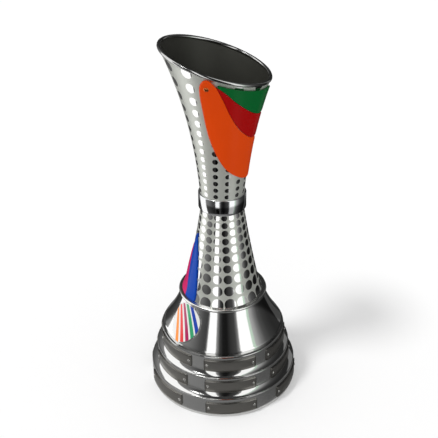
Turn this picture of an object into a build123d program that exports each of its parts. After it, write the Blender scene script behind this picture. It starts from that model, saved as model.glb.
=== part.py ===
from build123d import *
import os
from math import atan, cos, degrees, pi, radians, sin, sqrt, tan

# Cup trophy, in millimetres. The Z axis is the axis of the turned parts, the origin is the middle
# of the underside, -Y is the front and +X the right. Azimuth 0 is the front and grows to the right.

# Overall form
BASE_RADIUS = 114.5
TIER_RADII = (114.5, 104.6, 96.0)
TIER_TOPS = (33.6, 66.4, 99.4)
CONE_TOP = 160.5
SKIRT_FOOT = 62.8
JOINT = 320.0
NECK_RADIUS = 31.3
MOUTH_HEIGHT = 527.6
MOUTH_SLOPE = tan(radians(16.9))

# Heights at which the arcs of the cup and the skirt start, bend and end
CUP_HEIGHTS = (JOINT - 3.0, 375.0, 435.0, 497.0, 560.0)
SKIRT_HEIGHTS = (CONE_TOP - 3.0, 168.0, 180.0, 243.0, 306.0, 313.0, JOINT + 2.0)

# Metal
WALL = 2.0
TIER_WALL = 2.5
LIP = 1.2
COVE = 6.0
FELT = 1.5
BASE_SEAT = 13.5
ROD_RADIUS = 4.0

# Name plates and petals
PLATES = 6
PLATE_FRONT = 6.5
PLATE_LENGTH = 80.0
PLATE_HEIGHT = 20.0
PLATE_THICK = 1.6
SCREW_FROM_END = 4.5
SCREW_HEAD = 2.3
PETAL_GAP = 0.5
RIM_STRIP = 7.5
BEAD_RADIUS = 2.6
FLOOR = 340.0
PETAL_THICK = 2.0
SEAM = 0.8
BADGE_AZIMUTH = -49.0
BADGE_HEIGHT = 132.0
BADGE_RADIUS = 28.0


def cup_radius(z):
    """Outside of the upper cup: a flare that opens faster as it rises."""
    rise = (z - 310.0) / 240.0
    return NECK_RADIUS + 51.6 * (0.22 * rise + 0.60 * rise**2 + 0.18 * rise**3)


def skirt_radius(z):
    """Outside of the lower skirt: nearly a cone, with a short trumpet foot."""
    drop = max(310.0 - z, 0.0) / 150.0
    body = NECK_RADIUS + 21.0 * drop + 9.0 * drop**2 - 2.0 * drop**3
    foot = max(0.0, (CONE_TOP + 22.0 - z) / 22.0)
    return body + (SKIRT_FOOT - NECK_RADIUS - 28.0) * foot**2


def cone_radius(z):
    """Outside of the polished bell, a cone drawn in slightly at its waist."""
    foot, top = 104.0, CONE_TOP
    share = (z - foot) / (top - foot)
    return 92.6 + (64.6 - 92.6) * share - 13.0 * share * (1.0 - share)


def mouth_height(x):
    return MOUTH_HEIGHT - MOUTH_SLOPE * x


def stand_off(radius_at, z, distance):
    """Point of the XZ plane that stands off from a turned surface, square to it."""
    slope = (radius_at(z + 0.1) - radius_at(z - 0.1)) / 0.2
    length = sqrt(1.0 + slope**2)
    return (radius_at(z) + distance / length, 0, z - distance * slope / length)


def wall_arcs(radius_at, heights, distance):
    """Arcs that follow a turned surface at a distance: each starts, bends and ends at one of the heights."""
    points = [stand_off(radius_at, z, distance) for z in heights]
    return [ThreePointArc(*points[i : i + 3]) for i in range(0, len(points) - 2, 2)]


def wall_chords(radius_at, heights, distance):
    """Straight runs that follow a hidden side of a turned surface."""
    return Polyline(*[stand_off(radius_at, z, distance) for z in heights]).edges()


def turned(*edges):
    """Solid turned about the Z axis from a closed outline in the XZ plane."""
    return revolve(make_face(Wire(edges)), Axis.Z)


def turned_points(*points):
    """Solid turned from straight runs through (radius, height) points."""
    return turned(*Polyline([(r, 0, z) for r, z in points], close=True).edges())


def band(radius_at, heights, inner, outer):
    """Curved wall between two distances from a turned surface."""
    inside = wall_arcs(radius_at, heights, inner)
    outside = wall_arcs(radius_at, heights, outer)
    return turned(*inside, *outside, Line(inside[0] @ 0, outside[0] @ 0), Line(inside[-1] @ 1, outside[-1] @ 1))


def disc(radius, low, high, hole=0.0):
    ring = Cylinder(radius, high - low, align=(Align.CENTER, Align.CENTER, Align.MIN))
    if hole:
        ring -= Cylinder(hole, high - low, align=(Align.CENTER, Align.CENTER, Align.MIN))
    return Pos(0, 0, low) * ring


def facing(azimuth):
    """Plane through the axis that looks outwards at an azimuth, its x along the growing azimuth."""
    a = radians(azimuth)
    return Plane(origin=(0, 0, 0), x_dir=(cos(a), sin(a), 0), z_dir=(sin(a), -cos(a), 0))


def on_plane(azimuth, z, radius_at, middle):
    """Place of a point of the wall on the plane that faces the middle azimuth."""
    return (radius_at(z) * sin(radians(azimuth - middle)), z)


def cut_to_outline(wall, outline, middle):
    return wall & extrude(facing(middle) * outline, 140)


def on_wall(azimuth, z, radius_at, offset):
    """Plane that lies on a turned surface at an azimuth and height, stood off by the offset."""
    plane = facing(azimuth)
    slope = (radius_at(z + 0.1) - radius_at(z - 0.1)) / 0.2
    plane.origin = plane.from_local_coords((0, z, radius_at(z)))
    return Plane(plane.location * Rot(degrees(atan(slope)), 0, 0) * Pos(0, 0, offset))


def round_head(radius, rise, plane):
    """Low head of a screw, as an eight-sided button."""
    return extrude(plane * RegularPolygon(radius, 8), rise, taper=28)


# ---- Base: felt, plate, ballast and three tiers -------------------------------------------------

def make_felt_pad():
    return disc(BASE_RADIUS - TIER_WALL - 1.0, 0, FELT, hole=14.0)


def make_base_plate():
    plate = disc(BASE_RADIUS - TIER_WALL - 0.2, FELT, BASE_SEAT, hole=ROD_RADIUS + 0.5)
    return plate - disc(13.0, FELT, 10.0)


def make_ballast_weight():
    return disc(70.0, BASE_SEAT, BASE_SEAT + 14.0, hole=ROD_RADIUS + 1.0)


def make_tier(index):
    """Spun drum: coved foot, straight band, eased lip and a flat ledge for the piece above."""
    radius, top = TIER_RADII[index], TIER_TOPS[index]
    inside, under = radius - TIER_WALL, top - TIER_WALL
    ledge = (86.0, 78.0, 72.0)[index]
    head = [(radius, 0, top - LIP), (radius - LIP, 0, top), (ledge, 0, top), (ledge, 0, under), (inside, 0, under)]
    if index == 0:
        # The bottom tier ends just above the felt and has a seat that the base plate is drawn up to.
        seat = [(inside, BASE_SEAT + 4), (inside - 4, BASE_SEAT), (inside, BASE_SEAT), (inside, 0.6)]
        return turned_points((radius, 0.6), *[(r, z) for r, _, z in head], *seat)
    # The upper tiers spread in a cove onto the ledge below.
    foot = TIER_TOPS[index - 1]
    spread = TIER_RADII[index - 1] - 1.6
    reach = (spread - radius) * sqrt(0.5)
    cove_top = foot + 0.4 + COVE
    return turned(
        *Polyline((inside, 0, foot), (spread, 0, foot), (spread, 0, foot + 0.4)).edges(),
        ThreePointArc(
            (spread, 0, foot + 0.4), (spread - reach, 0, cove_top - COVE * sqrt(0.5)), (radius, 0, cove_top)
        ),
        *Polyline((radius, 0, cove_top), *head, (inside, 0, foot)).edges(),
    )


def plate_middle(index):
    """Height of the middle of a tier's name plates."""
    return (TIER_TOPS[index] + (TIER_TOPS[index - 1] if index else 0.0)) / 2 + (1.0 if index else 0.0)


def make_name_plates(index):
    """Six oblong plates bent round a tier."""
    radius, middle = TIER_RADII[index], plate_middle(index)
    wall = disc(radius + PLATE_THICK, middle - 12, middle + 12, hole=radius)
    width = 2 * (radius + PLATE_THICK) * sin(PLATE_LENGTH / 2 / radius)
    plate = cut_to_outline(wall, Pos(0, middle) * Rectangle(width, PLATE_HEIGHT), PLATE_FRONT)
    return [Rot(0, 0, 360 / PLATES * i) * plate for i in range(PLATES)]


def make_plate_screws(index):
    """Button heads of the two screws of every plate."""
    radius, middle = TIER_RADII[index], plate_middle(index)
    turn = degrees((PLATE_LENGTH / 2 - SCREW_FROM_END) / radius)
    screws = []
    for i in range(PLATES):
        for side in (-1, 1):
            azimuth = PLATE_FRONT + 360 / PLATES * i + side * turn
            seat = on_wall(azimuth, middle, lambda z: radius, PLATE_THICK)
            screws.append(round_head(SCREW_HEAD, 1.2, seat))
    return screws


# ---- Bell, skirt and collar -----------------------------------------------------------------------

def make_shoulder_cone():
    """Polished bell with a grooved foot and a top flange that carries the skirt."""
    foot = TIER_TOPS[2]
    (outside,) = wall_arcs(cone_radius, (foot + 4.6, 132.0, CONE_TOP), 0)
    inside = wall_chords(cone_radius, (foot + 7.0, 122.0, 140.0, CONE_TOP - 2.5), -WALL)
    rim = (outside @ 0).X
    flange = [outside @ 1, (46, 0, CONE_TOP), (46, 0, CONE_TOP - 2), (62, 0, CONE_TOP - 2), inside[-1] @ 1]
    plinth = [
        inside[0] @ 0, (88, 0, foot + 3.4), (88, 0, foot), (90.6, 0, foot), (90.6, 0, foot + 3.4),
        (rim - 0.6, 0, foot + 3.4), outside @ 0,
    ]
    return turned(outside, *Polyline(*flange).edges(), *inside, *Polyline(*plinth).edges())


def make_skirt():
    """Spun flare with a short trumpet foot."""
    outside = wall_arcs(skirt_radius, SKIRT_HEIGHTS, 0)
    inside = wall_chords(skirt_radius, (SKIRT_HEIGHTS[0], 170.0, 185.0, 245.0, 310.0, SKIRT_HEIGHTS[-1]), -WALL)
    ends = [Line(inside[0] @ 0, outside[0] @ 0), Line(inside[-1] @ 1, outside[-1] @ 1)]
    return turned(*outside, *inside, *ends) & disc(90, CONE_TOP, JOINT)


def make_foot_ring():
    """Half-round moulding that hides the seam between the skirt and the bell."""
    low, high = CONE_TOP, CONE_TOP + 5.0
    return turned_points(
        (SKIRT_FOOT + 0.1, low), (66.2, low), (67.6, low + 1.5), (67.6, high - 1.5), (66.2, high),
        (skirt_radius(high) + 0.1, high),
    )


def make_collar():
    """Plain polished band over the joint, eased at both edges."""
    outer, inner, low, high, ease = 35.1, 33.0, 307.8, 332.8, 1.3
    low_inner = skirt_radius(low) + 0.25
    return turned_points(
        (inner, high), (outer - ease, high), (outer, high - ease * 1.4), (outer, low + ease * 1.4),
        (outer - ease, low), (low_inner, low), (low_inner + 0.2, low + 4), (inner, low + 8),
    )


# ---- Upper cup -------------------------------------------------------------------------------------

def mouth_point(azimuth, offset):
    """Point of the slanted rim at an azimuth, at an offset from the outside of the wall."""
    a, z = radians(azimuth), MOUTH_HEIGHT
    for _ in range(40):
        radius = cup_radius(z) + offset
        z = (z + mouth_height(radius * sin(a))) / 2
    return (radius * sin(a), -radius * cos(a), z)


def above_mouth(lift=0.0):
    """Everything over the slanted plane of the mouth."""
    block = Box(300, 300, 200, align=(Align.CENTER, Align.CENTER, Align.MIN))
    return Pos(0, 0, MOUTH_HEIGHT + lift) * Rot(0, degrees(atan(MOUTH_SLOPE)), 0) * block


def make_cup_shell():
    wall = band(cup_radius, CUP_HEIGHTS, -WALL, 0)
    return (wall & disc(95, JOINT, 560)) - above_mouth()


def make_rim_bead(cup):
    """Bead rolled along the slanted edge, let in by the thickness of the wall."""
    centres = [mouth_point(360 / 16 * i, -WALL / 2) for i in range(16)]
    path = Spline(centres, periodic=True)
    section = Plane(origin=path @ 0, z_dir=path % 0) * RegularPolygon(BEAD_RADIUS, 8, rotation=22.5)
    return sweep(section, path) - cup


def make_cup_floor():
    """Floor plate that wedges down into the taper of the cup."""
    low, high, bore, gap = FLOOR, FLOOR + 4.0, ROD_RADIUS + 0.4, WALL + 0.15
    return turned_points((bore, low), (cup_radius(low) - gap, low), (cup_radius(high) - gap, high), (bore, high))


def make_neck_spigot():
    """Turned bush that lines up the cup and the skirt inside the collar."""
    outer, bore, low = NECK_RADIUS - WALL - 0.15, ROD_RADIUS + 0.4, JOINT - 22
    return turned_points(
        (bore, FLOOR), (outer, FLOOR), (outer, low), (outer - 3, low), (outer - 3, FLOOR - 6), (bore, FLOOR - 6)
    )


# ---- Tie rod ---------------------------------------------------------------------------------------

def make_tie_rod():
    return disc(ROD_RADIUS, 3.0, FLOOR + 15.0)


def make_washer(low):
    """Square plate washer."""
    return Pos(0, 0, low) * extrude(Rectangle(17, 17), 1.6) - disc(ROD_RADIUS + 0.2, low, low + 1.6)


def make_nut(low):
    return Pos(0, 0, low) * extrude(RegularPolygon(7.5, 6), 6.5) - disc(ROD_RADIUS, low, low + 6.5)


# ---- Petals, their pads and the badge --------------------------------------------------------------

def place(points, radius_at, middle):
    return [on_plane(azimuth, z, radius_at, middle) for azimuth, z in points]


def shift(points, turn, lift):
    """Outline points moved sideways by an angle and upwards by a height."""
    return [(azimuth + turn, z + lift) for azimuth, z in points]


def make_petal(sides, corners, radius_at, middle, heights):
    """Curved plate between two offsets, cut to an outline whose sides are smooth curves."""
    edges = []
    for side in sides:
        points = place(side, radius_at, middle)
        edges.append(Spline(points) if len(points) > 2 else Line(*points))
    face = make_face(Wire(edges))
    ends = [Vector(x, y) for x, y in place(corners, radius_at, middle)]
    rounded = [v for v in face.vertices() if any((Vector(*v) - end).length < 0.5 for end in ends)]
    if rounded:
        face = fillet(rounded, 8.0)
    wall = band(radius_at, heights, PETAL_GAP, PETAL_GAP + PETAL_THICK)
    return cut_to_outline(wall, face, middle)


def make_pads(places, radius_at):
    """Thin adhesive pads in the gap between the petals and the wall."""
    return [extrude(on_wall(azimuth, z, radius_at, 0.12) * Rectangle(6, 12), 0.25) for azimuth, z in places]


UPPER_MIDDLE, LOWER_MIDDLE = 29.0, -75.0
TIP = (-6.4, 519.0)
SEAM_A = [(0.8, 497.8), (11.6, 471.0), (28.0, 448.0), (54.0, 430.5), (84.0, 425.0)]
SEAM_B = [(4.5, 508.3), (15.6, 494.9), (29.1, 483.0), (43.0, 473.0), (60.0, 465.5), (84.0, 461.5)]


def make_upper_petals():
    """Three blades that fan out from under the rim and sweep round to the right."""
    low_tip, high_tip = (TIP[0] - 0.6, TIP[1]), (TIP[0] + 1.2, TIP[1] - 0.5)
    half = SEAM / 2
    below_a, above_a = shift(SEAM_A, -0.2, -half), shift(SEAM_A, 0.2, half)
    below_b, above_b = shift(SEAM_B, -0.2, -half), shift(SEAM_B, 0.2, half)
    orange_left = [(-24.6, 517.0), (-26.4, 477.0), (-19.6, 427.0), (3.8, 388.6), (39.6, 369.0), (84.0, 361.0)]
    orange_top = [(-24.6, 517.0), (-15.3, 529.5), low_tip]
    rim = [(a, mouth_point(a, 0)[2] - RIM_STRIP) for a in (high_tip[0], 8.0, 24.0, 42.0, 62.0, 84.0)]
    orange = ([orange_left, [orange_left[-1], below_a[-1]], [low_tip] + below_a, orange_top])
    red = ([[TIP] + above_a, [above_a[-1], below_b[-1]], [TIP] + below_b])
    green = ([[high_tip] + above_b, [above_b[-1], rim[-1]], rim, [rim[0], high_tip]])
    ends = [orange_left[-1], below_a[-1], above_a[-1], below_b[-1], above_b[-1], rim[-1]]
    return {
        name: make_petal(sides, ends, cup_radius, UPPER_MIDDLE, CUP_HEIGHTS)
        for name, sides in (("orange", orange), ("red", red), ("green", green))
    }


def make_lower_petals():
    """Two blades that rise from the foot ring to a shared point on the left."""
    foot = CONE_TOP + 5.6
    right = [(-69.5, 268.0), (-56.7, 240.6), (-48.5, 206.0), (-45.0, 180.0), (-44.0, foot)]
    seam = [(-75.0, 247.0), (-76.5, 225.0), (-73.5, 198.5), (-66.5, foot)]
    left = [(-77.0, 250.0), (-88.0, 222.0), (-98.0, 192.0), (-104.0, foot)]
    front, back = shift(seam, 0.4, 0), shift(seam, -0.4, 0)
    blue = [right, [right[-1], front[-1]], [right[0]] + front]
    pink = [[left[0]] + back[1:], [back[-1], left[-1]], left]
    return {
        name: make_petal(sides, [], skirt_radius, LOWER_MIDDLE, SKIRT_HEIGHTS)
        for name, sides in (("blue", blue), ("pink", pink))
    }


def make_tip_screw():
    """Button head that holds the tip of the orange petal under the rim."""
    return round_head(3.6, 1.6, on_wall(-16.0, 516.0, cup_radius, PETAL_GAP + PETAL_THICK + 0.05))


def make_cone_badge():
    """Round enamelled badge bent to the bell."""
    wall = band(cone_radius, (105, 132, 159), 0.1, 1.6)
    return cut_to_outline(wall, Pos(0, BADGE_HEIGHT) * RegularPolygon(BADGE_RADIUS, 32), BADGE_AZIMUTH)


parts = {}
parts["felt_pad"] = make_felt_pad()
parts["base_plate"] = make_base_plate()
parts["ballast_weight"] = make_ballast_weight()
for index, name in enumerate(("bottom", "middle", "top")):
    parts[f"tier_{name}"] = make_tier(index)
    parts[f"name_plates_{name}"] = make_name_plates(index)
    parts[f"plate_screws_{name}"] = make_plate_screws(index)
parts["shoulder_cone"] = make_shoulder_cone()
parts["cone_badge"] = make_cone_badge()
parts["skirt_shell"] = make_skirt()
parts["foot_ring"] = make_foot_ring()
parts["collar"] = make_collar()
parts["cup_shell"] = make_cup_shell()
parts["rim_bead"] = make_rim_bead(parts["cup_shell"])
parts["cup_floor"] = make_cup_floor()
parts["neck_spigot"] = make_neck_spigot()
parts["tie_rod"] = make_tie_rod()
parts["top_washer"] = make_washer(FLOOR + 4.0)
parts["top_nut"] = make_nut(FLOOR + 5.6)
parts["bottom_washer"] = make_washer(8.4)
parts["bottom_nut"] = make_nut(1.9)
for name, petal in (make_upper_petals() | make_lower_petals()).items():
    parts[f"petal_{name}"] = petal
parts["petal_pads_upper"] = make_pads(
    [(-18, 440), (-16, 490), (20, 400), (60, 390), (20, 478), (60, 448), (32, 500), (66, 480)], cup_radius
)
parts["petal_pads_lower"] = make_pads([(-62, 230), (-56, 190), (-82, 222), (-86, 192)], skirt_radius)
parts["petal_tip_screw"] = make_tip_screw()

os.makedirs("parts", exist_ok=True)
for name, shape in parts.items():
    if isinstance(shape, list):
        shape = Compound(children=[solid for piece in shape for solid in piece.solids()])
    export_step(shape, f"parts/{name}.step")
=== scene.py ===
import bpy
from math import atan, cos, pi, radians, sin, sqrt, tan
from mathutils import Matrix, Vector


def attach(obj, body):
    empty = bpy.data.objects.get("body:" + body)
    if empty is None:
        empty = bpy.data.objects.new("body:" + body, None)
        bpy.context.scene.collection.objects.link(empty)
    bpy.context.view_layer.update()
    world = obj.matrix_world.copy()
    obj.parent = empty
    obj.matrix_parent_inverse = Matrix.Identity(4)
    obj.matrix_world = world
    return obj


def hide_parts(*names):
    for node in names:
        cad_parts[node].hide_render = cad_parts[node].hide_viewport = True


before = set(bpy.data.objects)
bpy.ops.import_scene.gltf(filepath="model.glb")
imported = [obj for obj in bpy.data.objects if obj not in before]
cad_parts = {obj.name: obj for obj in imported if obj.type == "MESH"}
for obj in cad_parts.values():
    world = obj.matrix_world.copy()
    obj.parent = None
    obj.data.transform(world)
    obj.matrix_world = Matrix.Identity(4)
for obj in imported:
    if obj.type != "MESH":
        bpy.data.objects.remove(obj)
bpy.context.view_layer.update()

# ---- Felt pad ------------------------------------------------------------------------------------
# A ring of black wool felt, die-cut and glued under the base plate so that the trophy does not
# scratch a table. Its fibres lie in every direction and catch a little dust at the edge.


class Number:
    """One value in a finish, so that a sum of values adds its Math nodes."""

    def __init__(self, finish, node, output):
        self.finish = finish
        self.node = node
        self.socket = node.outputs[output] if node.outputs else None

    def math(self, operation, *values):
        return self.finish.node("ShaderNodeMath", {"operation": operation}, dict(enumerate(values)))

    def __add__(self, other):
        return self.math("ADD", self, other)

    def __radd__(self, other):
        return self.math("ADD", other, self)

    def __sub__(self, other):
        return self.math("SUBTRACT", self, other)

    def __rsub__(self, other):
        return self.math("SUBTRACT", other, self)

    def __mul__(self, other):
        return self.math("MULTIPLY", self, other)

    def __rmul__(self, other):
        return self.math("MULTIPLY", other, self)

    def __truediv__(self, other):
        return self.math("DIVIDE", self, other)

    def __rtruediv__(self, other):
        return self.math("DIVIDE", other, self)

    def __pow__(self, other):
        return self.math("POWER", self, other)

    def __lt__(self, other):
        return self.math("LESS_THAN", self, other)

    def __gt__(self, other):
        return self.math("GREATER_THAN", self, other)

    def __abs__(self):
        return self.math("ABSOLUTE", self)


class Finish:
    """A material, put together node by node on the object's own coordinates."""

    def __init__(self, name):
        self.material = bpy.data.materials.new(name)
        self.material.use_nodes = True
        self.tree = self.material.node_tree
        self.tree.nodes.clear()
        self.place = self.node("ShaderNodeTexCoord", output="Object")
        self.split = self.node("ShaderNodeSeparateXYZ", {}, {0: self.place})
        self.x = Number(self, self.split.node, "X")
        self.y = Number(self, self.split.node, "Y")
        self.z = Number(self, self.split.node, "Z")

    def node(self, kind, settings=None, sockets=None, output=0):
        made = self.tree.nodes.new(kind)
        for key, value in (settings or {}).items():
            if key == "stops":
                while len(made.color_ramp.elements) < len(value):
                    made.color_ramp.elements.new(1.0)
                for stop, (position, shade) in zip(made.color_ramp.elements, value):
                    stop.position = position
                    stop.color = shade if len(shade) == 4 else (*shade, 1.0)
            else:
                setattr(made, key, value)
        for key, value in (sockets or {}).items():
            if isinstance(value, Number):
                self.tree.links.new(value.socket, made.inputs[key])
            else:
                made.inputs[key].default_value = value
        return Number(self, made, output)

    def noise(self, scale, detail=2.0, stretch=(1, 1, 1)):
        place = self.node("ShaderNodeVectorMath", {"operation": "MULTIPLY"}, {0: self.place, 1: stretch})
        return self.node("ShaderNodeTexNoise", {}, {"Vector": place, "Scale": scale, "Detail": detail})

    def step(self, value, low, high):
        """0 below low and 1 above high, with a soft change between them."""
        settings = {"interpolation_type": "SMOOTHSTEP"}
        return self.node("ShaderNodeMapRange", settings, {"Value": value, "From Min": low, "From Max": high})

    def blend(self, share, first, second):
        """Colour that goes from the first to the second as the share goes from 0 to 1."""
        first, second = [(*c, 1.0) if isinstance(c, tuple) else c for c in (first, second)]
        return self.node("ShaderNodeMix", {"data_type": "RGBA"}, {0: share, 6: first, 7: second}, 2)

    def worn_edges(self, low=0.52, high=0.60):
        """1 along sharp outer edges, where handling has rubbed the surface."""
        pointed = self.node("ShaderNodeNewGeometry", output="Pointiness")
        return self.step(pointed, low, high)

    def surface(self, color, roughness, metallic=0.0, relief=None, depth=0.0001, constant=None):
        sockets = {"Base Color": color if isinstance(color, Number) else (*color, 1.0)}
        sockets |= {"Roughness": roughness, "Metallic": metallic}
        if relief is not None:
            bump = {"Height": relief, "Distance": depth, "Strength": 1.0}
            sockets["Normal"] = self.node("ShaderNodeBump", {}, bump)
        sockets |= constant or {}
        shader = self.node("ShaderNodeBsdfPrincipled", {}, sockets)
        self.node("ShaderNodeOutputMaterial", {}, {"Surface": shader})
        return self.material


def wear(material, *names):
    """Gives the finish to CAD nodes."""
    for name in names:
        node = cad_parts[name]
        node.data.materials.clear()
        node.data.materials.append(material)


felt = Finish("black_felt")
fibres = felt.noise(900.0, 4.0)
lint = felt.step(felt.noise(140.0), 0.55, 0.75)
wear(
    felt.surface(
        felt.blend(fibres * 0.6 + lint * 0.4, (0.012, 0.012, 0.013), (0.06, 0.058, 0.055)),
        0.95 - lint * 0.08, relief=fibres, depth=0.0004, constant={"Sheen Weight": 0.4},
    ),
    "felt_pad",
)

# ---- Base plate and ballast ----------------------------------------------------------------------
# A disc of birch plywood, sawn round and pressed up into the seat of the bottom tier, with a grey
# cast-iron weight bolted on top of it by the same tie rod that holds the whole trophy together.

plywood = Finish("birch_plywood")
plies = plywood.node("ShaderNodeMath", {"operation": "PINGPONG"}, {0: plywood.z, 1: 0.0013}) / 0.0013
grain = plywood.noise(60.0, 5.0, (0.25, 3.0, 1.0))
fresh_wood = plywood.blend(grain, (0.52, 0.36, 0.20), (0.70, 0.54, 0.34))
wear(
    plywood.surface(
        plywood.blend(plies * 0.35 + plywood.worn_edges() * 0.3, fresh_wood, (0.30, 0.19, 0.10)),
        0.72 - grain * 0.15, relief=grain, depth=0.0003,
    ),
    "base_plate",
)

iron = Finish("grey_cast_iron")
pits = iron.noise(420.0, 4.0)
rust = iron.step(iron.noise(35.0, 4.0), 0.58, 0.72)
wear(
    iron.surface(
        iron.blend(rust, (0.10, 0.10, 0.105), (0.17, 0.09, 0.055)),
        0.5 + rust * 0.3 + pits * 0.1, 0.85 - rust * 0.6, relief=pits, depth=0.0005,
    ),
    "ballast_weight",
)

# ---- Tie rod, nuts and washers -------------------------------------------------------------------
# One threaded steel rod runs up the axis. A nut and a square plate washer at each end pull the
# base plate, the tiers, the bell, the skirt and the cup together. All are plain zinc-washed steel.

THREAD_PITCH = 0.00125

steel = Finish("plain_steel")
cloud = steel.noise(90.0, 3.0)
rubbed = steel.worn_edges()
wear(
    steel.surface(
        steel.blend(cloud * 0.5 + rubbed * 0.5, (0.36, 0.36, 0.37), (0.60, 0.60, 0.60)),
        0.42 - rubbed * 0.12 + cloud * 0.1, 1.0, relief=steel.noise(700.0, 2.0), depth=0.00005,
    ),
    "top_washer", "top_nut", "bottom_washer", "bottom_nut",
)

thread = Finish("threaded_steel")
turn = thread.x.math("ARCTAN2", thread.y, thread.x) / (2 * pi)
# Height across the thread, used for the bump. It also darkens the colour towards the roots, which is painted
# shade in the grooves.
flank = thread.node("ShaderNodeMath", {"operation": "PINGPONG"}, {0: thread.z / THREAD_PITCH + turn, 1: 0.5})
wear(
    thread.surface(
        thread.blend(flank * 2.0, (0.25, 0.25, 0.26), (0.58, 0.58, 0.58)),
        0.5 - flank * 0.3, 1.0, relief=flank, depth=0.0008,
    ),
    "tie_rod",
)

# ---- Tiers ---------------------------------------------------------------------------------------
# Three drums spun from 2.5 mm sheet and stacked like steps. Each has a straight band that was
# brushed on the lathe, an eased lip and, on the upper two, a cove that spreads onto the ledge below.

MM = 0.001
TIER_RADII = (114.5, 104.6, 96.0)
TIER_TOPS = (33.6, 66.4, 99.4)
TIER_LEDGES = (86.0, 78.0, 72.0)
TIER_NAMES = ("bottom", "middle", "top")
SHEET = 2.5
FLOOR_GAP = 0.6
BASE_SEAT = 13.5
SEAT_WIDTH = 4.0
LIP = 1.3
COVE = 6.0
COVE_GAP = 0.4
COVE_BOW = 0.45
COVE_STEPS = 8


def select_all():
    bpy.ops.mesh.select_all(action="SELECT")


def start(name):
    """Takes the primitive that was just added into edit mode, as the piece of this name."""
    piece = bpy.context.object
    piece.name = piece.data.name = name
    bpy.ops.object.mode_set(mode="EDIT")
    select_all()
    return piece


def turned(name, outline, around=160, closed=True):
    """Part turned about the Z axis. The outline runs once round its section, as (radius, height)."""
    radius, height = outline[0]
    bpy.ops.object.select_all(action="DESELECT")
    bpy.ops.mesh.primitive_circle_add(vertices=around, radius=radius * MM)
    piece = start(name)
    bpy.ops.transform.translate(value=(0, 0, height * MM))
    for next_radius, next_height in outline[1:]:
        bpy.ops.mesh.extrude_edges_move(TRANSFORM_OT_translate={"value": (0, 0, (next_height - height) * MM)})
        share = next_radius / radius
        bpy.ops.transform.resize(value=(share, share, 1), center_override=(0, 0, 0))
        radius, height = next_radius, next_height
    if closed:
        bpy.ops.mesh.select_all(action="DESELECT")
        bpy.ops.mesh.select_non_manifold()
        bpy.ops.mesh.bridge_edge_loops()
        select_all()
        bpy.ops.mesh.normals_make_consistent(inside=False)
    return piece


def modified(piece, kind, **settings):
    """Adds a modifier to the piece and applies it."""
    bpy.context.view_layer.objects.active = piece
    modifier = piece.modifiers.new(kind.title(), kind)
    for key, value in settings.items():
        setattr(modifier, key, value)
    bpy.ops.object.modifier_apply(modifier=modifier.name)


def finished(piece, material, slot, *nodes, ease=0.0, angle=30):
    """Leaves edit mode, eases sharp edges, smooths the rest and gives the piece its finish and place."""
    if bpy.context.mode != "OBJECT":
        bpy.ops.object.mode_set(mode="OBJECT")
    bpy.ops.object.select_all(action="DESELECT")
    piece.select_set(True)
    bpy.context.view_layer.objects.active = piece
    bpy.ops.object.transform_apply(location=True, rotation=True, scale=True)
    sharp = radians(angle)
    if ease:
        modified(piece, "BEVEL", width=ease * MM, segments=3, limit_method="ANGLE", angle_limit=sharp)
    bpy.ops.object.shade_smooth_by_angle(angle=sharp)
    if material:
        piece.data.materials.clear()
        piece.data.materials.append(material)
    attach(piece, "root")
    if nodes:
        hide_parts(*nodes)
    return piece


def from_axis(finish):
    """Distance from the axis in metres."""
    return (finish.x * finish.x + finish.y * finish.y) ** 0.5


def lathe_streaks(metal):
    """Fine streaks that follow the turning."""
    turn = metal.x.math("ARCTAN2", metal.x, metal.y)
    place = {"X": from_axis(metal) * 2600.0, "Y": turn * 3.0, "Z": metal.z * 2600.0}
    lines = metal.node("ShaderNodeCombineXYZ", {}, place)
    return metal.node("ShaderNodeTexNoise", {}, {"Vector": lines, "Scale": 1.0, "Detail": 2.0})


def brushed_metal(name, light, dark, roughness, streak=1.0):
    """Metal brushed round the axis, with rubbed edges."""
    metal = Finish(name)
    streaks = lathe_streaks(metal)
    cloud = metal.noise(28.0, 3.0)
    rubbed = metal.worn_edges(0.53, 0.62)
    return metal.surface(
        metal.blend(cloud * 0.5 + streaks * 0.3 + rubbed * 0.2, dark, light),
        roughness + streaks * 0.06 * streak + cloud * 0.04 - rubbed * 0.08, 1.0,
        relief=streaks, depth=0.00002 * streak,
    )


def tier_finish():
    """Brushed bands between lips and coves that were buffed bright."""
    metal = Finish("tier_metal")
    streaks = lathe_streaks(metal)
    cloud = metal.noise(28.0, 3.0)
    band = 0.0
    for index, top in enumerate(TIER_TOPS):
        foot = TIER_TOPS[index - 1] + COVE_GAP + COVE if index else 0.0
        above = metal.step(metal.z, (foot - 0.2) * MM, (foot + 0.2) * MM)
        band = band + above * (1.0 - metal.step(metal.z, (top - 2.0) * MM, (top - 1.6) * MM))
    color = metal.blend(cloud * 0.6 + streaks * 0.4, (0.54, 0.54, 0.53), (0.64, 0.64, 0.63))
    return metal.surface(
        metal.blend(band, (0.74, 0.74, 0.73), color),
        0.05 + cloud * 0.02 + band * (0.16 + streaks * 0.06), 1.0,
        relief=streaks, depth=0.000008,
    )


tier_metal = tier_finish()

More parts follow.
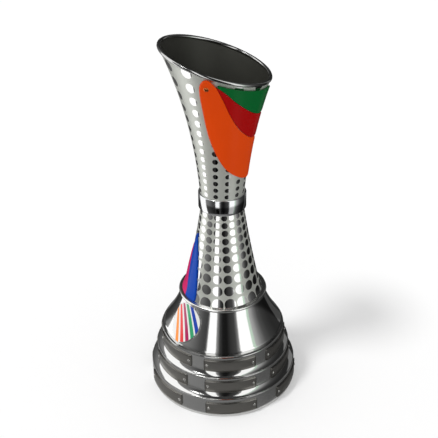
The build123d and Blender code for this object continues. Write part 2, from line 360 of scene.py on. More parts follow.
for index, name in enumerate(TIER_NAMES):
    radius, top, ledge = TIER_RADII[index], TIER_TOPS[index], TIER_LEDGES[index]
    inner, under = radius - SHEET, top - SHEET
    lip = [(radius, top - LIP), (radius - 0.4, top - 0.4), (radius - LIP, top)]
    head = [(radius, top - 1.8), *lip, (ledge, top), (ledge, under), (inner, under)]
    if index == 0:
        seat = [(inner, BASE_SEAT + SEAT_WIDTH), (inner - SEAT_WIDTH, BASE_SEAT), (inner, BASE_SEAT)]
        outline = [(radius, FLOOR_GAP), *head, *seat, (inner, FLOOR_GAP)]
    else:
        foot, spread = TIER_TOPS[index - 1], TIER_RADII[index - 1] - 1.6
        cove = []
        for i in range(COVE_STEPS + 1):
            share = i / COVE_STEPS
            bow = COVE_BOW * sin(pi * share)
            cove.append((spread - (spread - radius) * share - bow, foot + COVE_GAP + COVE * share - bow))
        outline = [(inner, foot), (spread, foot), *cove, *head]
    finished(turned(f"drum_{name}", outline), tier_metal, "polished_silver", f"tier_{name}")

# ---- Name plates ---------------------------------------------------------------------------------
# Six blank oblong plates of darker brushed metal round every tier, 80 by 20 mm, rolled to the
# curve of the band with rounded corners. They are left bare for the winners' names.

PLATES = 6
PLATE_FRONT = 6.5
PLATE_LENGTH = 80.0
PLATE_HEIGHT = 20.0
PLATE_THICK = 1.6
PLATE_CORNER = 2.0
PLATE_RAISED = 1.0


def plate_middle(index):
    """Height of the middle of a tier's name plates."""
    if index == 0:
        return TIER_TOPS[0] / 2
    return (TIER_TOPS[index] + TIER_TOPS[index - 1]) / 2 + PLATE_RAISED


def around_axis(piece, count):
    """Repeats all that is in the mesh round the axis."""
    select_all()
    bpy.ops.mesh.spin(
        steps=count - 1, dupli=True, angle=2 * pi * (count - 1) / count, center=(0, 0, 0), axis=(0, 0, 1)
    )


plate_metal = brushed_metal("plate_metal", (0.37, 0.36, 0.335), (0.30, 0.29, 0.27), 0.24, 1.5)

for index, name in enumerate(TIER_NAMES):
    radius, middle = TIER_RADII[index], plate_middle(index)
    sweep = PLATE_LENGTH / radius
    start_turn = radians(PLATE_FRONT) - sweep / 2
    bpy.ops.object.select_all(action="DESELECT")
    bpy.ops.mesh.primitive_plane_add(size=1.0, rotation=(pi / 2, 0, 0))
    piece = start(f"plates_{name}")
    bpy.ops.transform.resize(value=(PLATE_THICK * MM, 1, PLATE_HEIGHT * MM))
    bpy.ops.transform.translate(value=((radius + PLATE_THICK / 2) * MM, 0, middle * MM))
    bpy.ops.mesh.spin(steps=30, angle=-sweep, center=(0, 0, 0), axis=(0, 0, 1))
    select_all()
    bpy.ops.transform.rotate(value=pi / 2 - start_turn, orient_axis="Z", center_override=(0, 0, 0))
    bpy.ops.mesh.normals_make_consistent(inside=False)
    bpy.ops.mesh.select_all(action="DESELECT")
    bpy.ops.object.mode_set(mode="OBJECT")
    for edge in piece.data.edges:
        a, b = [piece.data.vertices[v].co for v in edge.vertices]
        edge.select = abs(a.z - b.z) < 1e-5 and abs(a.xy.length - b.xy.length) > 0.001
    bpy.ops.object.mode_set(mode="EDIT")
    bpy.ops.mesh.select_mode(type="EDGE")
    bpy.ops.mesh.bevel(offset=PLATE_CORNER * MM, segments=5, affect="EDGES")
    bpy.ops.mesh.select_mode(type="VERT")
    around_axis(piece, PLATES)
    finished(piece, plate_metal, "name_plate", f"name_plates_{name}", ease=0.35, angle=40)

# ---- Plate screws --------------------------------------------------------------------------------
# Two small domed drive screws hold every plate, one near each end. They are nickel-plated steel,
# driven home so that the head sits on the plate.

SCREW_FROM_END = 4.5
SCREW_RADIUS = 2.3
SCREW_RISE = 1.2


def domed_head(name, radius, rise, seat, slope, azimuth, height):
    """Domed screw head, seated on a wall at an azimuth and height."""
    bpy.ops.object.select_all(action="DESELECT")
    bpy.ops.mesh.primitive_uv_sphere_add(segments=20, ring_count=12, radius=radius * MM)
    piece = start(name)
    bpy.ops.mesh.bisect(plane_co=(0, 0, 0), plane_no=(0, 0, 1), clear_inner=True, use_fill=True)
    select_all()
    bpy.ops.transform.resize(value=(1, 1, rise / radius), center_override=(0, 0, 0))
    bpy.ops.object.mode_set(mode="OBJECT")
    out = Matrix.Rotation(radians(azimuth), 4, "Z") @ Matrix.Translation((0, -seat * MM, height * MM))
    piece.data.transform(out @ Matrix.Rotation(pi / 2 - slope, 4, "X"))
    return piece


def joined(name, pieces):
    """Several bodies of one kind as one piece."""
    bpy.ops.object.select_all(action="DESELECT")
    for piece in pieces:
        piece.select_set(True)
    bpy.context.view_layer.objects.active = pieces[0]
    bpy.ops.object.join()
    pieces[0].name = pieces[0].data.name = name
    return pieces[0]


screw_metal = brushed_metal("screw_metal", (0.86, 0.85, 0.82), (0.72, 0.71, 0.68), 0.10, 0.1)

for index, name in enumerate(TIER_NAMES):
    radius, middle = TIER_RADII[index], plate_middle(index)
    turn = (PLATE_LENGTH / 2 - SCREW_FROM_END) / radius * 180 / pi
    seat = radius + PLATE_THICK
    heads = [
        domed_head("head", SCREW_RADIUS, SCREW_RISE, seat, 0.0, PLATE_FRONT + side * turn, middle)
        for side in (-1, 1)
    ]
    piece = joined(f"screws_{name}", heads)
    bpy.ops.object.mode_set(mode="EDIT")
    around_axis(piece, PLATES)
    finished(piece, screw_metal, "screw", f"plate_screws_{name}", angle=40)

# ---- Bell ----------------------------------------------------------------------------------------
# The shoulder of the trophy, spun from sheet and polished to a mirror. It is drawn in slightly at
# the waist, stands on a grooved foot and has a flange on top that carries the skirt.

CONE_FOOT = 104.0
CONE_TOP = 160.5
CONE_FOOT_RADIUS = 92.6
CONE_TAPER = 28.0
CONE_WAIST = 13.0
FLANGE = 2.0
FLANGE_BORE = 46.0


def cone_radius(z):
    """Radius of the bell at a height: a taper that is drawn in at half height."""
    share = (z - CONE_FOOT) / (CONE_TOP - CONE_FOOT)
    return CONE_FOOT_RADIUS - CONE_TAPER * share - CONE_WAIST * share * (1.0 - share)


def run(radius_at, low, high, steps, offset=0.0):
    """Outline points that follow a turned surface upwards at an offset."""
    heights = [low + (high - low) * i / steps for i in range(steps + 1)]
    return [(radius_at(z) + offset, z) for z in heights]


def polished_metal(name, color, roughness):
    """Polished metal with faint buffing marks and a slight haze where it is handled."""
    metal = Finish(name)
    haze = metal.noise(22.0, 4.0)
    buffing = metal.noise(1.0, 2.0, (160.0, 160.0, 1500.0))
    worn = metal.worn_edges(0.53, 0.62)
    dull = tuple(c * 0.93 for c in color)
    return metal.surface(
        metal.blend(haze, color, dull), roughness + haze * 0.05 + worn * 0.04, 1.0,
        relief=buffing, depth=0.0000006,
    )


bell_metal = polished_metal("polished_bell_metal", (0.86, 0.86, 0.85), 0.06)

foot = TIER_TOPS[2]
grooved_foot = [
    (88.0, foot), (90.0, foot), (90.5, foot + 0.5), (90.5, foot + 2.6), (91.2, foot + 3.2),
    (91.6, foot + 3.6), (92.4, foot + 4.2),
]
flange = [(FLANGE_BORE, CONE_TOP), (FLANGE_BORE, CONE_TOP - FLANGE), (62.0, CONE_TOP - FLANGE)]
inner_wall = run(cone_radius, 106.5, CONE_TOP - 3.0, 8, -2.2)
bell = [
    *grooved_foot, *run(cone_radius, CONE_FOOT + 0.4, CONE_TOP, 28), *flange, *reversed(inner_wall),
    (88.0, foot + 4.0),
]
finished(turned("bell", bell), bell_metal, "polished_silver", "shoulder_cone")

# ---- Badge ---------------------------------------------------------------------------------------
# A round enamelled badge set on the left of the bell, bent to its curve, with a thin polished rim.
# Its face is plain white with slanted stripes in the trophy's colours.

BADGE_AZIMUTH = -49.0
BADGE_HEIGHT = 132.0
BADGE_RADIUS = 28.0
BADGE_RIM = 1.3
BADGE_THICK = 1.1
BADGE_GLUE = 0.25
BADGE_RINGS = 8
STRIPE_HALF = 3.0
BADGE_STRIPES = (
    ((0.93, 0.27, 0.02), -15.5), ((0.76, 0.012, 0.012), -6.5), ((0.42, 0.012, 0.10), 2.5),
    ((0.035, 0.35, 0.15), 11.0), ((0.012, 0.055, 0.42), 19.0),
)

badge = Finish("badge_enamel")
lean = radians(BADGE_AZIMUTH)
sideways = (badge.x * cos(lean) + badge.y * sin(lean)) * 1000.0
upwards = (badge.z - BADGE_HEIGHT * MM) * 1000.0
across = sideways * 0.82 + upwards * 0.57
color = badge.blend(badge.noise(30.0), (0.80, 0.80, 0.78), (0.86, 0.86, 0.84))
for shade, middle in BADGE_STRIPES:
    stripe = 1.0 - badge.step(abs(across - middle), STRIPE_HALF - 0.3, STRIPE_HALF)
    color = badge.blend(stripe, color, shade)
badge_enamel = badge.surface(
    color, 0.18 + badge.noise(60.0) * 0.08, relief=badge.noise(120.0), depth=0.00003,
    constant={"Coat Weight": 0.5, "Coat Roughness": 0.08},
)
badge_rim = polished_metal("badge_rim", (0.80, 0.80, 0.79), 0.10)

bpy.ops.object.select_all(action="DESELECT")
bpy.ops.mesh.primitive_circle_add(vertices=72, radius=BADGE_RADIUS * MM, fill_type="NGON")
piece = start("badge")
bpy.ops.mesh.select_mode(type="FACE")
bpy.ops.mesh.inset(thickness=BADGE_RIM * MM)
for _ in range(BADGE_RINGS):
    bpy.ops.mesh.inset(thickness=3.0 * MM)
bpy.ops.mesh.poke()
bpy.ops.mesh.select_mode(type="VERT")
bpy.ops.object.mode_set(mode="OBJECT")
piece.data.transform(Matrix.Rotation(lean, 4, "Z") @ Matrix.Rotation(pi / 2, 4, "X"))
outward = Vector((sin(lean), -cos(lean)))
side = Vector((cos(lean), sin(lean)))
for vertex in piece.data.vertices:
    z = vertex.co.z / MM + BADGE_HEIGHT
    shift = vertex.co.xy.dot(side)
    radius = (cone_radius(z) + BADGE_GLUE) * MM
    depth = sqrt(radius**2 - shift**2)
    vertex.co = (*(side * shift + outward * depth), z * MM)
modified(piece, "SOLIDIFY", thickness=BADGE_THICK * MM, offset=1.0)
piece.data.materials.append(badge_enamel)
piece.data.materials.append(badge_rim)
for polygon in piece.data.polygons:
    shift, rise = polygon.center.xy.dot(side), polygon.center.z - BADGE_HEIGHT * MM
    polygon.material_index = int(sqrt(shift**2 + rise**2) > (BADGE_RADIUS - BADGE_RIM) * MM)
finished(piece, None, "white_enamel", "cone_badge", ease=0.25, angle=50)

# ---- Skirt ---------------------------------------------------------------------------------------
# The lower flare, spun from sheet and bead-blasted to a satin. Rows of round mirror dots were
# masked off before the blasting. There are 19 columns, which lean slightly as they rise.

SKIRT_FOOT = 62.8
NECK_RADIUS = 31.3
JOINT = 320.0


def skirt_radius(z):
    """Radius of the lower flare at a height. It spreads a little more just above the bell."""
    drop = max(310.0 - z, 0.0) / 150.0
    body = NECK_RADIUS + 21.0 * drop + 9.0 * drop**2 - 2.0 * drop**3
    spread = max(0.0, (CONE_TOP + 22.0 - z) / 22.0)
    return body + (SKIRT_FOOT - NECK_RADIUS - 28.0) * spread**2


def dotted_metal(name, columns, first_azimuth, lean, first_row, rows, way, share, count):
    """Satin metal with mirror dots in columns and rows whose pitch grows away from the neck.

    The first row is at a height, the rows go up from it or down from it by the way of 1 or -1, and
    rows holds how many there are to 100 mm and how fast they thin out.
    """
    metal = Finish(name)
    height = metal.z * 1000.0
    radius = from_axis(metal) * 1000.0
    azimuth = metal.x.math("ARCTAN2", metal.x, metal.y * -1.0) * (180 / pi)
    pitch = 360 / columns
    column = (azimuth - first_azimuth - (height - first_row) * lean) / pitch
    sideways = (column - column.math("ROUND", column)) * radius * (2 * pi / columns)
    away = (height - first_row) * (way / 100.0)
    row = away * rows[0] - away * away * rows[1]
    row_pitch = 100.0 / (rows[0] - away * (2 * rows[1]))
    upwards = (row - row.math("ROUND", row)) * row_pitch
    distance = (sideways * sideways + upwards * upwards) ** 0.5
    dot = 1.0 - metal.step(distance - row_pitch * (share / 2), -0.2, 0.2)
    dot = dot * (row > -0.5) * (row < count - 0.5)
    grain = metal.noise(1500.0, 2.0)
    cloud = metal.noise(14.0, 3.0)
    ground = metal.blend(cloud, (0.685, 0.70, 0.645), (0.62, 0.635, 0.585))
    return metal.surface(
        metal.blend(dot, ground, (0.90, 0.90, 0.89)),
        (1.0 - dot) * (0.30 + grain * 0.08) + 0.05 + cloud * 0.02,
        dot * 0.45 + 0.55,
        relief=(1.0 - dot) * (grain - 0.5), depth=0.000001,
    )


skirt_metal = dotted_metal(
    "dotted_skirt_metal", columns=19, first_azimuth=4.7, lean=-0.05, first_row=303.5,
    rows=(8.9006, 1.633), way=-1.0, share=0.80, count=10,
)
outer_wall = run(skirt_radius, CONE_TOP, JOINT, 44)
inner_wall = run(skirt_radius, CONE_TOP, JOINT, 12, -2.05)
finished(turned("skirt", [*outer_wall, *reversed(inner_wall)]), skirt_metal, "satin_silver", "skirt_shell")

# ---- Foot ring -----------------------------------------------------------------------------------
# A half-round moulding, turned from solid and polished, that hides the seam between the skirt's
# foot and the bell.

RING_RADIUS = 65.1
RING_ROUND = 2.5

ring_metal = polished_metal("polished_ring_metal", (0.84, 0.84, 0.82), 0.20)
middle, high = CONE_TOP + RING_ROUND, CONE_TOP + 2 * RING_ROUND
turns = [radians(t) for t in range(-80, 81, 16)]
round_side = [(RING_RADIUS + RING_ROUND * cos(t), middle + RING_ROUND * sin(t)) for t in turns]
ring = [
    (SKIRT_FOOT + 0.1, CONE_TOP), (RING_RADIUS, CONE_TOP), *round_side, (RING_RADIUS, high),
    (skirt_radius(high) + 0.1, high),
]
finished(turned("half_round_ring", ring), ring_metal, "polished_silver", "foot_ring")

# ---- Collar --------------------------------------------------------------------------------------
# A plain polished band over the joint between the skirt and the cup, turned with eased edges and
# left bare.

COLLAR_FOOT = 307.8
COLLAR_TOP = 332.8
COLLAR_RADIUS = 35.1
COLLAR_BORE = 33.0

collar_metal = polished_metal("polished_collar_metal", (0.80, 0.81, 0.82), 0.07)
foot_bore = skirt_radius(COLLAR_FOOT) + 0.25
collar = [
    (COLLAR_BORE, COLLAR_TOP), (COLLAR_RADIUS - 1.3, COLLAR_TOP), (COLLAR_RADIUS - 0.5, COLLAR_TOP - 0.4),
    (COLLAR_RADIUS, COLLAR_TOP - 1.4), (COLLAR_RADIUS, COLLAR_FOOT + 1.4),
    (COLLAR_RADIUS - 0.5, COLLAR_FOOT + 0.4), (COLLAR_RADIUS - 1.3, COLLAR_FOOT),
    (foot_bore, COLLAR_FOOT), (foot_bore + 0.2, COLLAR_FOOT + 4), (COLLAR_BORE, COLLAR_FOOT + 8),
]
finished(turned("neck_band", collar), collar_metal, "polished_silver", "collar", angle=50)

# ---- Cup -----------------------------------------------------------------------------------------
# The upper flare, spun like the skirt, cut off on a slant and left plain inside, where its colour is
# near-black as painted shade of the hollow. Its outside has 13 columns of mirror dots that grow towards the
# rim.

MOUTH_HEIGHT = 527.6
MOUTH_SLOPE = tan(radians(16.9))
UNCUT_TOP = 560.0
CUP_STEPS = 60
WALL = 2.0


def cup_radius(z):
    """Radius of the upper flare at a height."""
    rise = (z - 310.0) / 240.0
    return NECK_RADIUS + 51.6 * (0.22 * rise + 0.60 * rise**2 + 0.18 * rise**3)


def cut_off_at_mouth():
    """Cuts all that is selected along the slanted plane of the mouth and drops what is above."""
    bpy.ops.mesh.bisect(
        plane_co=(0, 0, MOUTH_HEIGHT * MM), plane_no=(MOUTH_SLOPE, 0, 1), clear_outer=True, use_fill=False
    )


cup_metal = dotted_metal(
    "dotted_cup_metal", columns=13, first_azimuth=-44.0, lean=0.0415, first_row=338.5,
    rows=(9.3849, 1.409), way=1.0, share=0.65, count=14,
)

lining = Finish("dark_cup_lining")
patchy_tone = lining.noise(18.0, 4.0)
# The near-black colour of the lining is painted shade inside the cup; the noise only makes it patchy.
lining_metal = lining.surface(
    lining.blend(patchy_tone, (0.036, 0.036, 0.029), (0.060, 0.060, 0.049)), 0.50 + patchy_tone * 0.12, 0.4,
    relief=lining.noise(1.0, 3.0, (60.0, 60.0, 1400.0)), depth=0.00003,
)

outer_wall = run(cup_radius, JOINT, UNCUT_TOP, CUP_STEPS)
inner_wall = run(cup_radius, JOINT, UNCUT_TOP, CUP_STEPS, -WALL)
piece = turned("cup", [*outer_wall, *reversed(inner_wall)], 192)
select_all()
cut_off_at_mouth()
bpy.ops.mesh.select_all(action="DESELECT")
bpy.ops.mesh.select_non_manifold()
bpy.ops.mesh.bridge_edge_loops()
bpy.ops.object.mode_set(mode="OBJECT")
piece.data.materials.append(cup_metal)
piece.data.materials.append(lining_metal)
for polygon in piece.data.polygons:
    polygon.material_index = int(polygon.normal.xy.dot(polygon.center.xy) < 0)
finished(piece, None, "satin_silver", "cup_shell", angle=40)

# ---- Rim bead ------------------------------------------------------------------------------------
# A round bead rolled along the slanted edge of the cup and polished. It is let over the edge by
# the thickness of the wall.

BEAD_RADIUS = 2.6

# Its colour is darker than the other polished silver parts: painted shade, for the dark look of the bead.
bead_metal = polished_metal("polished_bead_metal", (0.60, 0.60, 0.59), 0.08)
piece = turned("bead", run(cup_radius, 470.0, UNCUT_TOP, 30, -WALL / 2), 240, closed=False)
select_all()
cut_off_at_mouth()
bpy.ops.mesh.select_all(action="INVERT")
bpy.ops.mesh.delete(type="VERT")
select_all()
bpy.ops.mesh.remove_doubles(threshold=0.0004)
bpy.ops.object.mode_set(mode="OBJECT")
bpy.ops.object.convert(target="CURVE")
piece = bpy.context.object
piece.data.bevel_depth = BEAD_RADIUS * MM
piece.data.bevel_resolution = 6
bpy.ops.object.convert(target="MESH")
piece = bpy.context.object
finished(piece, bead_metal, "polished_silver", "rim_bead", angle=60)

# ---- Cup floor and neck spigot -------------------------------------------------------------------
# Two turned aluminium parts inside: the floor wedges down into the taper of the cup, and the
# spigot lines up the cup and the skirt behind the collar.

aluminium = Finish("turned_aluminium")
along = from_axis(aluminium) + aluminium.z
# Turning grooves, used for the bump. They also darken the colour a little in their bottoms, which is painted
# shade.
grooves = aluminium.node("ShaderNodeMath", {"operation": "PINGPONG"}, {0: along, 1: 0.0004}) / 0.0004
cloud = aluminium.noise(50.0, 3.0)
wear(
    aluminium.surface(
        aluminium.blend(cloud * 0.6 + grooves * 0.2, (0.62, 0.62, 0.63), (0.78, 0.78, 0.78)),
        0.36 + cloud * 0.12 - aluminium.worn_edges() * 0.1, 1.0, relief=grooves, depth=0.00003,
    ),
    "cup_floor", "neck_spigot",
)

# ---- Petals --------------------------------------------------------------------------------------
# Five curved blades of 2 mm sheet in glossy enamel: orange, red and green fan out under the rim to
# the right, blue and pink rise from the foot ring on the left. Thin pads bond them to the wall.


def petal_enamel(name, color, deep):
    """Glossy stove enamel: a clear coat over an even colour, thinner along the edges."""
    enamel = Finish(name)
    flow = enamel.noise(16.0, 2.0)
    edge = enamel.worn_edges(0.53, 0.60)
    return enamel.surface(
        enamel.blend(flow * 0.5 + edge * 0.3, color, deep), 0.22 + flow * 0.08 + edge * 0.1,
        relief=enamel.noise(90.0, 2.0), depth=0.00002,
        constant={"Specular IOR Level": 0.06, "Coat Weight": 0.04, "Coat Roughness": 0.05},
    )


PETAL_COLORS = (
    ("orange", (0.82, 0.072, 0.002), (0.70, 0.052, 0.002)),
    ("red", (0.42, 0.002, 0.002), (0.34, 0.002, 0.002)),
    ("green", (0.003, 0.135, 0.028), (0.002, 0.11, 0.022)),
    ("blue", (0.004, 0.065, 0.44), (0.004, 0.05, 0.36)),
    ("pink", (0.72, 0.026, 0.160), (0.62, 0.02, 0.13)),
)

PETAL_GAP = 0.5
PETAL_THICK = 2.0
PETAL_CORNER = 8.0
SEAM = 0.45
RIM_STRIP = 7.5
PETAL_END = 84.0
PETAL_FOOT = 166.1
UPPER_MIDDLE = 29.0
LOWER_MIDDLE = -75.0
CUTTER_DEPTH = 0.140
CURVE_STEPS = 12
CORNER_STEPS = 8

# Points on the petals' edges, as (azimuth, height): the tip of the three upper petals, the seams
# between orange and red, between red and green and between blue and pink, then the free edges.
TIP = (-6.4, 519.0)
ORANGE_RED = [(0.8, 497.8), (11.6, 471.0), (28.0, 448.0), (54.0, 430.5), (PETAL_END, 425.0)]
RED_GREEN = [(4.5, 508.3), (15.6, 494.9), (29.1, 483.0), (43.0, 473.0), (60.0, 465.5), (PETAL_END, 461.5)]
BLUE_PINK = [(-75.0, 247.0), (-76.5, 225.0), (-73.5, 198.5), (-66.5, PETAL_FOOT)]
ORANGE_FREE = [
    (-15.3, 529.5), (-24.6, 517.0), (-26.4, 477.0), (-19.6, 427.0), (3.8, 388.6), (39.6, 369.0),
    (PETAL_END, 361.0),
]
BLUE_FREE = [(-44.0, PETAL_FOOT), (-45.0, 180.0), (-48.5, 206.0), (-56.7, 240.6), (-69.5, 268.0)]
PINK_FREE = [(-104.0, PETAL_FOOT), (-98.0, 192.0), (-88.0, 222.0), (-77.0, 250.0)]
RIM_AZIMUTHS = (PETAL_END, 62.0, 42.0, 24.0, 8.0)


def mouth_height(azimuth):
    """Height of the slanted edge at an azimuth."""
    height = MOUTH_HEIGHT
    for _ in range(40):
        height = (height + MOUTH_HEIGHT - MOUTH_SLOPE * cup_radius(height) * sin(radians(azimuth))) / 2
    return height


def moved(points, turn, lift):
    """The points of an edge, turned and lifted a little."""
    return [(azimuth + turn, height + lift) for azimuth, height in points]


def square_on(point, middle, radius_at):
    """Place of a point of an edge as seen square on from the petal's middle azimuth."""
    azimuth, height = point
    return Vector((radius_at(height) * sin(radians(azimuth - middle)), height))


def flowing(points):
    """Smooth line through all the points of one side of a petal."""
    ends = [points[0] * 2 - points[1], *points, points[-1] * 2 - points[-2]]
    line = []
    for before, a, b, after in zip(ends, ends[1:], ends[2:], ends[3:]):
        leaving, arriving = a + (b - before) / 6, b - (after - a) / 6
        for i in range(CURVE_STEPS):
            t = i / CURVE_STEPS
            u = 1 - t
            line.append(a * u**3 + leaving * 3 * t * u**2 + arriving * 3 * t**2 * u + b * t**3)
    return [*line, points[-1]]


def rounded(line, corner, size):
    """Cuts a corner of a closed line off with a curve that starts at a distance on each side."""
    near = [(point - corner).length < size for point in line]
    first = next(i for i, close in enumerate(near) if close and not near[i - 1])
    rest = (line[first:] + line[:first])[sum(near):]
    start, end = [corner + (point - corner).normalized() * size for point in (rest[-1], rest[0])]
    curve = []
    for i in range(CORNER_STEPS + 1):
        t = i / CORNER_STEPS
        curve.append(start * (1 - t) ** 2 + corner * 2 * t * (1 - t) + end * t**2)
    return rest + curve


def petal(name, sides, corners, radius_at, middle, low, high):
    """Blade cut from a spun band along a smooth outline seen square on at its middle azimuth."""
    line = []
    for side in sides:
        line += flowing([square_on(point, middle, radius_at) for point in side])[:-1]
    for corner in corners:
        line = rounded(line, square_on(corner, middle, radius_at), PETAL_CORNER)
    bpy.ops.object.select_all(action="DESELECT")
    bpy.ops.mesh.primitive_circle_add(vertices=len(line), radius=0.05, fill_type="NGON")
    cutter = bpy.context.object
    toward = Matrix.Rotation(radians(middle), 4, "Z")
    for vertex, point in zip(cutter.data.vertices, line):
        vertex.co = toward @ Vector((point.x * MM, -0.001, point.y * MM))
    start("cutter")
    outward = toward @ Vector((0, -CUTTER_DEPTH, 0))
    bpy.ops.mesh.extrude_region_move(TRANSFORM_OT_translate={"value": outward})
    select_all()
    bpy.ops.mesh.normals_make_consistent(inside=False)
    bpy.ops.object.mode_set(mode="OBJECT")
    steps = round((high - low) / 5)
    outer_face = run(radius_at, low, high, steps, PETAL_GAP + PETAL_THICK)
    inner_face = run(radius_at, low, high, steps, PETAL_GAP)
    blade = turned(name, [*outer_face, *reversed(inner_face)], 192)
    bpy.ops.object.mode_set(mode="OBJECT")
    modified(blade, "BOOLEAN", operation="INTERSECT", object=cutter, solver="EXACT")
    bpy.data.objects.remove(cutter)
    return blade


low_tip, high_tip = (TIP[0] - 0.6, TIP[1]), (TIP[0] + 1.2, TIP[1] - 0.5)
below_red, above_orange = moved(ORANGE_RED, -0.2, -SEAM / 2), moved(ORANGE_RED, 0.2, SEAM / 2)
below_green, above_red = moved(RED_GREEN, -0.2, -SEAM / 2), moved(RED_GREEN, 0.2, SEAM / 2)
rim = [(azimuth, mouth_height(azimuth) - RIM_STRIP) for azimuth in (*RIM_AZIMUTHS, high_tip[0])]
blue_seam, pink_seam = moved(BLUE_PINK, 0.4, 0), moved(BLUE_PINK, -0.4, 0)

# The sides of each petal, one after the other round it, and the corners that are rounded off.
OUTLINES = {
    "orange": (
        [[low_tip, *ORANGE_FREE], [ORANGE_FREE[-1], below_red[-1]], [*reversed(below_red), low_tip]],
        [ORANGE_FREE[-1], below_red[-1]],
    ),
    "red": (
        [[TIP, *above_orange], [above_orange[-1], below_green[-1]], [*reversed(below_green), TIP]],
        [above_orange[-1], below_green[-1]],
    ),
    "green": ([[high_tip, *above_red], [above_red[-1], rim[0]], rim], [above_red[-1], rim[0]]),
    "blue": ([BLUE_FREE, [BLUE_FREE[-1], *blue_seam], [blue_seam[-1], BLUE_FREE[0]]], []),
    "pink": ([[PINK_FREE[-1], *pink_seam[1:]], [pink_seam[-1], PINK_FREE[0]], PINK_FREE], []),
}

for name, color, deep in PETAL_COLORS:
    sides, corners = OUTLINES[name]
    if name in ("blue", "pink"):
        piece = petal(f"{name}_petal", sides, corners, skirt_radius, LOWER_MIDDLE, 162.0, 280.0)
    else:
        piece = petal(f"{name}_petal", sides, corners, cup_radius, UPPER_MIDDLE, 352.0, 545.0)
    finished(piece, petal_enamel(f"{name}_enamel", color, deep), f"{name}_enamel", f"petal_{name}", angle=35)

pads = Finish("bonding_pad")
cells = pads.noise(1100.0, 3.0)
wear(
    pads.surface(
        pads.blend(cells, (0.05, 0.05, 0.052), (0.11, 0.11, 0.11)), 0.8 - cells * 0.15,
        relief=cells, depth=0.0002,
    ),
    "petal_pads_upper", "petal_pads_lower",
)

# ---- Tip screw -----------------------------------------------------------------------------------
# One domed screw of the same kind as on the plates, but larger, holds the tip of the orange petal
# close under the rim. It is lacquered orange, like the petal.

TIP_SCREW_AZIMUTH = -16.0
TIP_SCREW_HEIGHT = 516.0
TIP_SCREW_RADIUS = 3.6
TIP_SCREW_RISE = 1.6

orange_lacquer = polished_metal("tip_screw_metal", (0.80, 0.22, 0.06), 0.10)
slope = (cup_radius(TIP_SCREW_HEIGHT + 0.1) - cup_radius(TIP_SCREW_HEIGHT - 0.1)) / 0.2
stand = (PETAL_GAP + PETAL_THICK + 0.05) / sqrt(1 + slope**2)
piece = domed_head(
    "tip_screw", TIP_SCREW_RADIUS, TIP_SCREW_RISE, cup_radius(TIP_SCREW_HEIGHT) + stand, -atan(slope),
    TIP_SCREW_AZIMUTH, TIP_SCREW_HEIGHT - stand * slope,
)
finished(piece, orange_lacquer, "screw", "petal_tip_screw", angle=40)

# ---- Studio --------------------------------------------------------------------------------------
# A white floor under soft light from the upper left. Polished metal mirrors a dim room with tall
# lit screens, which stand round the trophy and show in nothing else.

SCREENS = (
    # name, first and last azimuth, colour, share of the light on the floor close by
    ("left_screen", -120.0, -80.0, (1.25, 1.25, 1.25), 1.0),
    ("front_left_screen", -30.5, -13.5, (1.25, 1.25, 1.25), 0.0),
    ("front_right_screen", 32.5, 57.0, (1.25, 1.25, 1.25), 0.42),
    ("screen_edge", 57.0, 62.5, (0.58, 0.74, 0.61), 0.42),
    ("back_right_screen", 127.0, 141.0, (0.22, 0.22, 0.22), 0.3),
)
ROOM = (
    # azimuth and level of the walls between the screens
    (-180, 0.03), (-160, 0.05), (-140, 0.12), (-108, 0.40), (-82, 0.26), (-66, 0.20), (-52, 0.12),
    (-45, 0.08), (-38, 0.06), (-33, 0.06), (-31, 0.30), (-12, 0.30), (-7, 0.05), (0, 0.010), (8, 0.009),
    (15, 0.035), (26, 0.06), (32, 0.30), (62, 0.48), (68, 0.38), (75, 0.21), (84, 0.085), (96, 0.045),
    (112, 0.025), (145, 0.03), (180, 0.03),
)


SCREEN_RADIUS = 3900
ROOM_RADIUS = 4000
CEILING_LEVEL = 0.05


def seen_in_metal_only(piece):
    """Stage piece that shows in reflections only and throws no shadow."""
    piece.visible_camera = piece.visible_diffuse = piece.visible_shadow = False
    piece.visible_transmission = piece.visible_volume_scatter = False


def lit(glow, stops, strength):
    """Glow that changes with the azimuth, given as (azimuth, colour)."""
    turn = glow.x.math("ARCTAN2", glow.x, glow.y * -1.0) / (2 * pi) + 0.5
    ramp = [((azimuth + 180.0) / 360.0, color) for azimuth, color in stops]
    color = glow.node("ShaderNodeValToRGB", {"stops": ramp}, {"Fac": turn})
    shader = glow.node("ShaderNodeEmission", {}, {"Color": color, "Strength": strength})
    glow.node("ShaderNodeOutputMaterial", {}, {"Surface": shader})
    return glow.material


def grey(stops):
    """The same stops with a grey in place of each level."""
    return [(azimuth, (level, level, level)) for azimuth, level in stops]


def light_of(name, stops, near):
    """Glow of a wall, given as (azimuth, colour), and weaker on the floor close to the table."""
    glow = Finish(name)
    strength = near + glow.step(from_axis(glow), 0.60, 0.90) * (1.0 - near)
    return lit(glow, stops, strength)


def screen(name, first, last, radius, low, material):
    """Wall that runs out along the floor, stands up and reaches in overhead, between two azimuths."""
    outline = [(300, low), (500, low), (850, low), (radius, low), (radius, radius), (1200, radius)]
    piece = turned(name, outline, 120, closed=False)
    if last - first < 360:
        for azimuth, side in ((first, 1), (last, -1)):
            along = (side * cos(radians(azimuth)), side * sin(radians(azimuth)), 0)
            select_all()
            bpy.ops.mesh.bisect(plane_co=(0, 0, 0), plane_no=along, clear_inner=True)
    bpy.ops.object.mode_set(mode="OBJECT")
    piece.data.materials.append(material)
    seen_in_metal_only(piece)


for name, first, last, color, near in SCREENS:
    screen(name, first, last, SCREEN_RADIUS, 4, light_of(name, [(0, color), (1, color)], near))
screen("room", -180.0, 180.0, ROOM_RADIUS, 2, light_of("room_gloom", grey(ROOM), 0.25))

bpy.ops.object.select_all(action="DESELECT")
bpy.ops.mesh.primitive_circle_add(vertices=64, radius=1.3, fill_type="NGON", location=(0, 0, 3.95))
ceiling = bpy.context.object
ceiling.name = "ceiling"
ceiling.data.materials.append(light_of("ceiling_gloom", grey([(0, CEILING_LEVEL), (1, CEILING_LEVEL)]), 1.0))
seen_in_metal_only(ceiling)
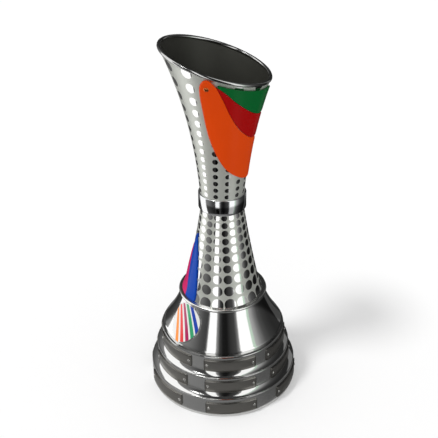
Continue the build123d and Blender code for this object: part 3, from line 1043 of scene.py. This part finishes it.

# A disc just above the floor that glows by azimuth, dims outwards and shows only in reflections: a painted
# reflection of a dark table round the trophy.
TABLE = (
    (-180, 0.07), (-120, 0.26), (-60, 0.34), (-15, 0.26), (20, 0.23), (45, 0.14), (80, 0.10), (180, 0.07),
)
TABLE_RADIUS = 0.42
TABLE_HOLE = 0.118
TABLE_HEIGHT = 0.0012
table = Finish("table_glow")
level = 1.0 - table.step(from_axis(table), 0.24, 0.38) * 0.94
table_light = lit(table, grey(TABLE), level)
bpy.ops.object.select_all(action="DESELECT")
bpy.ops.mesh.primitive_circle_add(vertices=96, radius=TABLE_RADIUS, location=(0, 0, TABLE_HEIGHT))
table_reflection_disc = start("table_reflection_disc")
bpy.ops.mesh.extrude_edges_move()
share = TABLE_HOLE / TABLE_RADIUS
bpy.ops.transform.resize(value=(share, share, 1), center_override=(0, 0, TABLE_HEIGHT))
bpy.ops.object.mode_set(mode="OBJECT")
table_reflection_disc.data.materials.append(table_light)
seen_in_metal_only(table_reflection_disc)

paper = Finish("white_paper_sweep")
rays = paper.node("ShaderNodeLightPath", output="Is Camera Ray")
shown = rays + Number(paper, rays.node, "Is Glossy Ray") + Number(paper, rays.node, "Is Transmission Ray")
diffuse = paper.node("ShaderNodeBsdfDiffuse", {}, {"Color": (0.80, 0.80, 0.80, 1.0)})
glow = paper.node("ShaderNodeEmission", {}, {"Color": (1.0, 1.0, 1.0, 1.0), "Strength": shown * 0.20})
both = paper.node("ShaderNodeAddShader", {}, {0: diffuse, 1: glow})
paper.node("ShaderNodeOutputMaterial", {}, {"Surface": both})
bpy.ops.object.select_all(action="DESELECT")
bpy.ops.mesh.primitive_plane_add(size=60.0)
floor = bpy.context.object
floor.name = "floor"
floor.data.materials.append(paper.material)

world = bpy.data.worlds.new("white_room")
bpy.context.scene.world = world
world.use_nodes = True
nodes, links = world.node_tree.nodes, world.node_tree.links
path = nodes.new("ShaderNodeLightPath")
sky = nodes["Background"]
sky.inputs["Color"].default_value = (1.0, 1.0, 1.0, 1.0)
total = path.outputs["Is Camera Ray"]
for other in ("Is Glossy Ray", "Is Transmission Ray"):
    adding = nodes.new("ShaderNodeMath")
    links.new(total, adding.inputs[0])
    links.new(path.outputs[other], adding.inputs[1])
    total = adding.outputs[0]
level = nodes.new("ShaderNodeMapRange")
level.inputs["To Min"].default_value = 0.66
level.inputs["To Max"].default_value = 1.0
links.new(total, level.inputs["Value"])
links.new(level.outputs[0], sky.inputs["Strength"])

LAMP_PLACE = (-1.31, -0.75, 2.60)

key = bpy.data.lights.new("key_lamp", "SUN")
key.angle = radians(11.0)
key.energy = 1.30
lamp = bpy.data.objects.new("key_lamp", key)
bpy.context.scene.collection.objects.link(lamp)
lamp.location = LAMP_PLACE
lamp.rotation_euler = (-Vector(LAMP_PLACE)).to_track_quat("-Z", "Y").to_euler()

# ---- Camera --------------------------------------------------------------------------------------
# Stands in front of the trophy, well above its rim, and looks down on it by 30 degrees.

CAMERA_PLACE = (0.0, -1.0858, 0.9196)
LOOK_DOWN = 30.34
ROLL = -0.30

view = bpy.data.cameras.new("camera")
view.lens = 69.84
view.sensor_width = 36.0
view.shift_x = -0.0077
camera = bpy.data.objects.new("camera", view)
bpy.context.scene.collection.objects.link(camera)
tilt = Matrix.Rotation(radians(90.0 - LOOK_DOWN), 4, "X") @ Matrix.Rotation(radians(ROLL), 4, "Z")
camera.matrix_world = Matrix.Translation(CAMERA_PLACE) @ tilt
bpy.context.scene.camera = camera
bpy.context.scene.view_settings.view_transform = "Standard"
